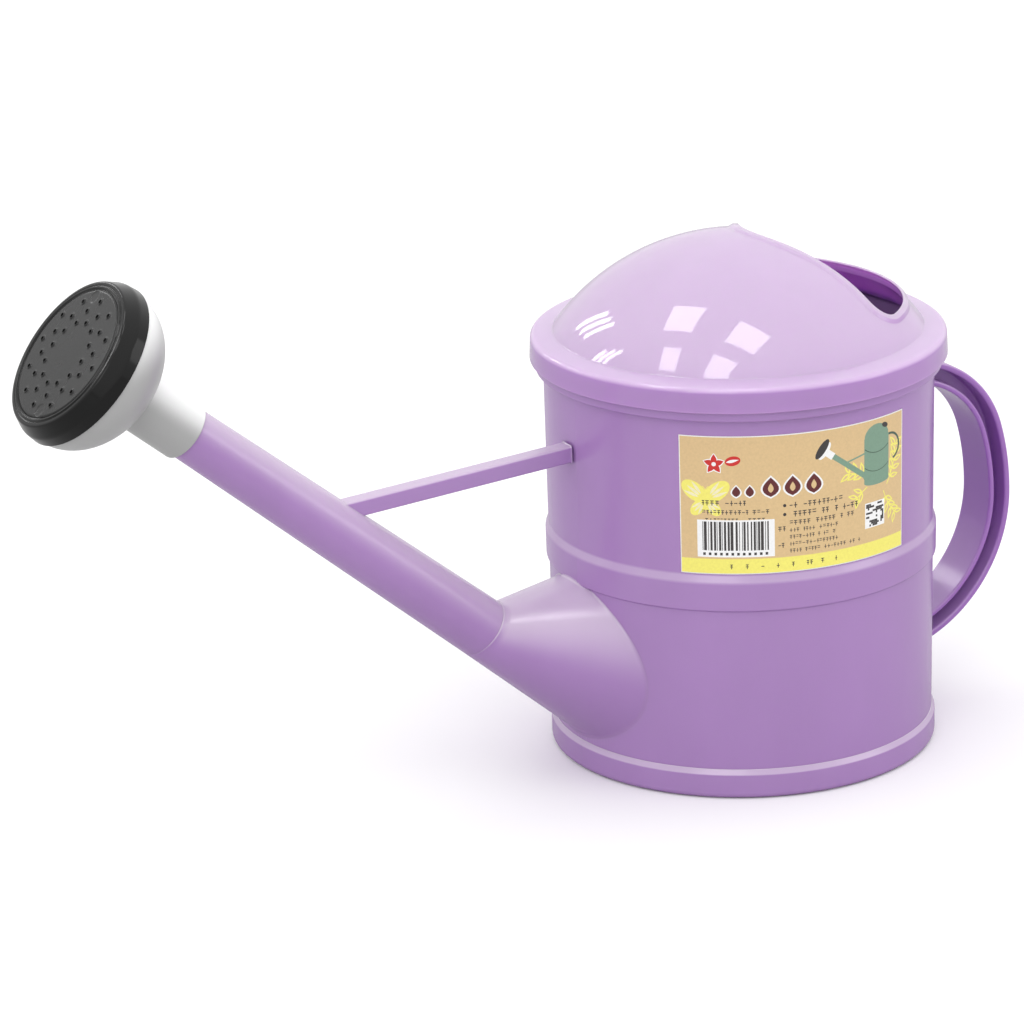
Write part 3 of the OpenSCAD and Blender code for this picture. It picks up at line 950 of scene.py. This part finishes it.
head_x, head_y = 0.215 * label_w, 0.565 * label_h
for k in range(2):
    ink("label_white", leaf(head_x + 1.4 + 6.2 * k, head_y - 0.8, 6.6, 5.2, 90))
    ink("label_maroon", leaf(head_x + 1.4 + 6.2 * k, head_y - 0.1, 5.2, 3.8, 90))
for k in range(3):
    middle = head_x + 17.2 + 10.2 * k
    ink("label_white", leaf(middle, head_y - 1.4, 11.2, 9.4, 90))
    ink("label_maroon", leaf(middle, head_y - 0.6, 9.4, 7.6, 90))
    ink("label_tan", leaf(middle, head_y + 1.4, 4.6, 2.6, 90))

can_x, can_y = 0.775 * label_w, 0.545 * label_h
ink("label_dark_green", stroke(bow(can_x + 16.6, can_y + 14.6, 6.4, -70, 100), 1.1))
ink("label_green", stroke([(can_x + 1, can_y + 3.6), (can_x - 17.6, can_y + 17.2)], 2.6))
ink("label_green", leaf(can_x + 6, can_y + 1.6, -9, 5.6, -28))
ink("label_green", stroke([(can_x + 1, can_y + 15), (can_x - 10, can_y + 12.5)], 0.8))
ink("label_green", block(can_x, can_y, 15.6, 21.5))
ink("label_green", oval(can_x + 7.8, can_y, 7.8, 1.6))
ink("label_green", oval(can_x + 7.8, can_y + 21.5, 7.6, 6.2))
ink("label_dark_green", stroke(bow(can_x + 7.8, can_y + 26, 12, 231, 309), 0.4))
ink("label_dark_green", stroke(bow(can_x + 7.8, can_y + 17, 12, 231, 309), 0.35))
ink("label_ink", oval(can_x + 13, can_y + 26, 2.0, 1.2, -20))
ink("label_white", stroke([(can_x - 17, can_y + 16.6), (can_x - 21, can_y + 19.6)], 3.4))
ink("label_white", oval(can_x - 21.4, can_y + 20.0, 1.9, 4.7, -36))
ink("label_ink", oval(can_x - 22.6, can_y + 21.0, 1.9, 5.4, -36))

state = 7


def chance():
    """The next value, from 0 to 1, of a fixed run of numbers."""
    global state
    state = (state * 16807) % 2147483647
    return state / 2147483647


def greeked(x, y, width, height, colour="label_ink"):
    """A line of small strokes and blocks that stands in for print."""
    end = x + width
    while x < end:
        step = height * (0.65 + 0.35 * chance())
        if chance() < 0.14:
            x += step
            continue
        ink(colour, block(x, y + height * 0.4, step * 0.72, height * 0.17))
        if chance() < 0.75:
            ink(colour, block(x, y + height * 0.82, step * 0.72, height * 0.17))
        if chance() < 0.8:
            ink(colour, block(x + step * 0.26, y, height * 0.16, height))
        x += step


for row, (share, size) in enumerate(((0.5, 2.5), (0.435, 2.2), (0.375, 2.2))):
    greeked(0.09 * label_w, share * label_h, (0.17, 0.27, 0.25)[row] * label_w, size)
for share, wide, size in (
    (0.465, 0.26, 2.7), (0.4, 0.30, 2.7), (0.34, 0.30, 2.3), (0.29, 0.2, 1.9),
    (0.24, 0.2, 1.9), (0.19, 0.2, 1.9), (0.14, 0.31, 1.9),
):
    greeked(0.44 * label_w, share * label_h, wide * label_w, size)
for share in (0.47, 0.405):
    ink("label_ink", oval(0.432 * label_w - 1.4, share * label_h + 1.1, 0.8, 0.8, 0, 12))
for share in (0.3, 0.18):
    greeked(0.393 * label_w, share * label_h, 2.2, 2.4)
for k in range(8):
    greeked((0.2 + 0.062 * k) * label_w, 0.3 * band_h + label_margin, 1.6, 2.3)

bars_x, bars_y, bars_w, bars_h = 0.07 * label_w, 0.125 * label_h, 35.5, 0.27 * label_h
ink("label_white", block(bars_x, bars_y, bars_w, bars_h))
x = bars_x + 2.4
while x < bars_x + bars_w - 2.8:
    thick = 0.33 * (1 + int(3.4 * chance()))
    ink("label_ink", block(x, bars_y + 3.2, thick, bars_h - 4.0))
    x += thick + 0.33 * (1 + int(2.6 * chance()))
for k in range(12):
    ink("label_ink", block(bars_x + 2.6 + 2.6 * k, bars_y + 0.9, 1.2, 1.3))

code_x, code_y, code_n, code_cell = 0.785 * label_w, 0.225 * label_h, 11, 1.0
code_size = code_n * code_cell + 1.2
ink("label_white", block(code_x - 0.6, code_y - 0.6, code_size, code_size))
for row in range(code_n):
    column = 0
    while column < code_n:
        run = 1 + int(2.2 * chance())
        run = min(run, code_n - column)
        if chance() < 0.55:
            ink("label_ink", block(code_x + column * code_cell, code_y + row * code_cell,
                                   run * code_cell - 0.02, code_cell - 0.02))
        column += run

sheet_verts, sheet_faces = [], []
for _, outline in prints:
    sheet_faces.append(list(range(len(sheet_verts), len(sheet_verts) + len(outline))))
    sheet_verts += outline
grid_edges = []
folds = 44
for k in range(1, folds):
    x = label_w * k / folds
    grid_edges.append((len(sheet_verts), len(sheet_verts) + 1))
    sheet_verts += [Vector((x, 0)), Vector((x, label_h))]
found = delaunay_2d_cdt(sheet_verts, grid_edges, sheet_faces, 1, 1e-5)
label = bmesh.new()


def on_wall(p, proud):
    """A point of the flat label wrapped round the wall."""
    z = label_z0 + p.y * mm
    angle = label_middle - label_span / 2 + label_span * p.x / label_w
    radius = wall_r(z) + proud
    return Vector((radius * cos(angle), radius * sin(angle), z))


colours = list(inks)
verts = [label.verts.new(on_wall(p, label_t)) for p in found[0]]
for face, origin in zip(found[2], found[5]):
    if origin:
        made = label.faces.new([verts[k] for k in face])
        made.material_index = colours.index(prints[max(origin)][0])
bmesh.ops.delete(label, geom=[v for v in label.verts if not v.link_faces], context="VERTS")
bmesh.ops.recalc_face_normals(label, faces=label.faces)
label_piece = finish_mesh("front_label_sticker", label)


def printed(name, colour):
    """Satin printed paper: fibre in the colour and a soft varnish over it."""
    material = bpy.data.materials.new(name)
    material.use_nodes = True
    nodes = material.node_tree.nodes
    link = material.node_tree.links.new
    shader = nodes["Principled BSDF"]
    shader.inputs["Coat Weight"].default_value = 0.25
    shader.inputs["Coat Roughness"].default_value = 0.3
    place = nodes.new("ShaderNodeTexCoord")
    fibre = nodes.new("ShaderNodeTexNoise")
    fibre.inputs["Scale"].default_value = 900
    fibre.inputs["Detail"].default_value = 6
    tones = nodes.new("ShaderNodeValToRGB")
    tones.color_ramp.elements[0].color = (*[c * 0.88 for c in colour], 1)
    tones.color_ramp.elements[1].color = (*[min(1, c * 1.1 + 0.004) for c in colour], 1)
    gloss = nodes.new("ShaderNodeMapRange")
    gloss.inputs["To Min"].default_value = 0.42
    gloss.inputs["To Max"].default_value = 0.6
    bump = nodes.new("ShaderNodeBump")
    bump.inputs["Strength"].default_value = 0.12
    bump.inputs["Distance"].default_value = 0.02 * mm
    link(place.outputs["Object"], fibre.inputs["Vector"])
    link(fibre.outputs["Fac"], tones.inputs["Fac"])
    link(tones.outputs["Color"], shader.inputs["Base Color"])
    link(fibre.outputs["Fac"], gloss.inputs["Value"])
    link(gloss.outputs["Result"], shader.inputs["Roughness"])
    link(fibre.outputs["Fac"], bump.inputs["Height"])
    link(bump.outputs["Normal"], shader.inputs["Normal"])
    return material


for name, colour in inks.items():
    label_piece.data.materials.append(printed(name, colour))
thick = label_piece.modifiers.new("paper", "SOLIDIFY")
thick.thickness = label_t
thick.offset = -1
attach(label_piece, "can")
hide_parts("front_label")

# ---- Floor, light and camera ----------------------------------------------------------------
# A pale sweep of paper, a white room and two large soft panels. Ten small panels light nothing
# and are only mirrored by glossy skin. The camera stands above the can, to its spout side.

floor_half = 6.0
floor_z = -0.2 * mm
floor_mesh = bmesh.new()
corners = [(-1, -1), (1, -1), (1, 1), (-1, 1)]
floor_mesh.faces.new([
    floor_mesh.verts.new((x * floor_half, y * floor_half, floor_z)) for x, y in corners
])
floor = finish_mesh("studio_floor", floor_mesh)
paper = bpy.data.materials.new("studio_paper")
paper.use_nodes = True
paper_nodes = paper.node_tree.nodes
paper_link = paper.node_tree.links.new
sheet_white = paper_nodes["Principled BSDF"]
sheet_grey = paper_nodes.new("ShaderNodeBsdfDiffuse")
sheet_grey.inputs["Color"].default_value = (0.58, 0.58, 0.58, 1)
sheet_white.inputs["Base Color"].default_value = (0.95, 0.95, 0.95, 1)
sheet_white.inputs["Roughness"].default_value = 0.9
sheet_white.inputs["Specular IOR Level"].default_value = 0.1
ray = paper_nodes.new("ShaderNodeLightPath")
seen = paper_nodes.new("ShaderNodeMixShader")
paper_link(ray.outputs["Is Camera Ray"], seen.inputs["Fac"])
paper_link(sheet_grey.outputs["BSDF"], seen.inputs[1])
paper_link(sheet_white.outputs["BSDF"], seen.inputs[2])
paper_link(seen.outputs["Shader"], paper_nodes["Material Output"].inputs["Surface"])
floor.data.materials.append(paper)

world = bpy.data.worlds.new("white_room")
world.use_nodes = True
sky = world.node_tree.nodes
sky_link = world.node_tree.links.new
sky_place = sky.new("ShaderNodeTexCoord")
sky_split = sky.new("ShaderNodeSeparateXYZ")
sky_range = sky.new("ShaderNodeMapRange")
sky_range.inputs["From Min"].default_value = 0.05
sky_range.inputs["From Max"].default_value = 0.9
sky_range.inputs["To Min"].default_value = 1.0
sky_range.inputs["To Max"].default_value = 1.3
sky_link(sky_place.outputs["Generated"], sky_split.inputs["Vector"])
sky_link(sky_split.outputs["Z"], sky_range.inputs["Value"])
sky_link(sky_range.outputs["Result"], sky["Background"].inputs["Strength"])
sky["Background"].inputs["Color"].default_value = (1, 1, 1, 1)
bpy.context.scene.world = world


def panel(name, place, target, width, height, radiance, spin=0.0, glint=False):
    """A soft light panel of a given brightness at a place, facing the target. A glint panel is
    only mirrored and lights nothing."""
    light = bpy.data.lights.new(name, "AREA")
    light.shape = "RECTANGLE"
    light.size, light.size_y = width, height
    light.energy = pi * width * height * radiance
    lamp = bpy.data.objects.new(name, light)
    way = Vector(place) - Vector(target)
    lamp.matrix_world = (
        Matrix.Translation(place)
        @ way.to_track_quat("Z", "Y").to_matrix().to_4x4()
        @ Matrix.Rotation(radians(spin), 4, "Z")
    )
    lamp.visible_diffuse = not glint
    bpy.context.scene.collection.objects.link(lamp)


middle = (-0.05, 0, 0.12)
ceiling_z, ceiling_radiance, ceiling_spin = 1.75, 4.2, -62
window_radiance, window_spin = 7.0, -18
panel("key_panel", (-1.9, -1.9, 1.5), middle, 1.3, 1.3, 1.6)
panel("fill_panel", (2.0, -2.0, 1.2), middle, 1.4, 1.4, 1.2)
for k, (x, y, w, h) in enumerate((
    (-0.49, 0.40, 0.43, 0.42),
    (-0.10, -0.40, 0.43, 0.38),
    (-1.11, 0.05, 0.30, 0.43),
    (-0.69, -0.64, 0.36, 0.40),
)):
    place = (x, y, ceiling_z)
    panel(f"ceiling_pane_{k}", place, (x, y, 0), w, h, ceiling_radiance, ceiling_spin, True)
for k in range(3):
    place = Vector((-0.42 - 0.13 * k, 1.46 - 0.05 * k, 0.9 + 0.1 * k))
    panel(f"window_pane_{k}", place, middle, 0.06, 0.46, window_radiance, window_spin, True)
    place = Vector((-1.0 - 0.1 * k, 1.1 - 0.06 * k, 1.0 + 0.16 * k))
    panel(f"window_light_{k}", place, middle, 0.05, 0.4, window_radiance, window_spin, True)

bpy.context.scene.view_settings.view_transform = "Standard"

view_azimuth, view_elevation, view_roll = radians(-27.82), radians(18.665), radians(-1.592)
aim = Vector((-0.1225, 0, 0.1322))
view_distance = 2.3707
lens = bpy.data.cameras.new("studio_camera")
lens.sensor_width = 36
lens.lens = 180.14
camera = bpy.data.objects.new("studio_camera", lens)
back = Vector((
    sin(view_azimuth) * cos(view_elevation),
    -cos(view_azimuth) * cos(view_elevation),
    sin(view_elevation),
))
right = Vector((cos(view_azimuth), sin(view_azimuth), 0))
upward = back.cross(right)
tilt = Matrix.Rotation(view_roll, 3, back)
axes = Matrix((tilt @ right, tilt @ upward, back)).transposed()
camera.matrix_world = Matrix.Translation(aim + back * view_distance) @ axes.to_4x4()
bpy.context.scene.collection.objects.link(camera)
bpy.context.scene.camera = camera
